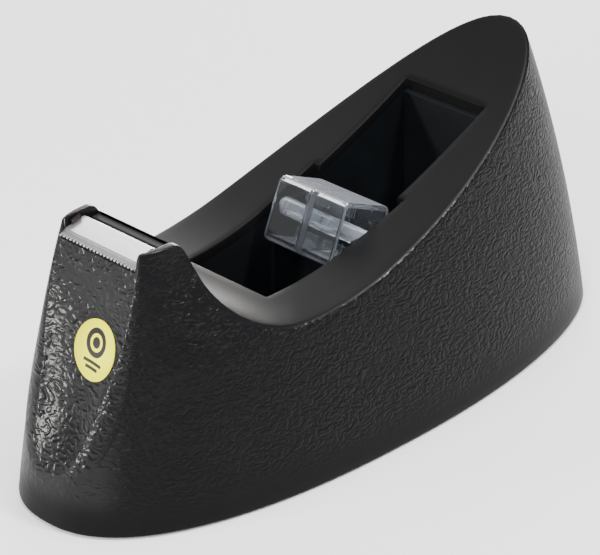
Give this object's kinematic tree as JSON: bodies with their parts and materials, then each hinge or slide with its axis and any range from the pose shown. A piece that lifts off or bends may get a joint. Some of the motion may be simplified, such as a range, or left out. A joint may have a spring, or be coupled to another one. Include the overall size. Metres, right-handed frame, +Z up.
{
  "type": "desktop tape dispenser",
  "caption": "Weighted desktop dispenser for adhesive tape: grained egg-shaped shell, sunken well, lift-out turning hub and a toothed cutter at the nose.",
  "frame": {"origin": "centre of the footprint, on the table", "axes": "+X along the body from the cutter towards the tail, +Y across it, +Z up"},
  "size_m": [0.1598, 0.063, 0.0708],
  "materials": {
    "shell": "satin black, leather-grained sides, smooth deck",
    "tub": "smooth matte black",
    "weights": "rough cast",
    "screws": "zinc plated",
    "plate": "matte black",
    "pad": "fine cellular rubber",
    "blade": "bright brushed steel",
    "label": "satin printed sticker",
    "hub": "clear, polished"
  },
  "bodies": {
    "base": {"casing": "shell", "well_tub": "tub", "ballast_rear": "weights", "ballast_front": "weights", "ballast_screws": "screws", "base_plate": "plate", "base_screws": "screws", "foot_pad": "pad", "cutter_blade": "blade", "front_label": "label"},
    "spindle": {"hub_axle": "hub"},
    "hub": {"hub_half_far": "hub", "hub_half_near": "hub"}
  },
  "joints": [
    {"name": "axle_lift", "type": "slide", "parent": "base", "child": "spindle", "axis": [0, 0, 1], "range_m": [0, 0.03]},
    {"name": "hub_spin", "type": "hinge", "parent": "spindle", "child": "hub", "pos_m": [0.002, 0, 0.0396], "axis": [0, 1, 0], "continuous": true}
  ]
}
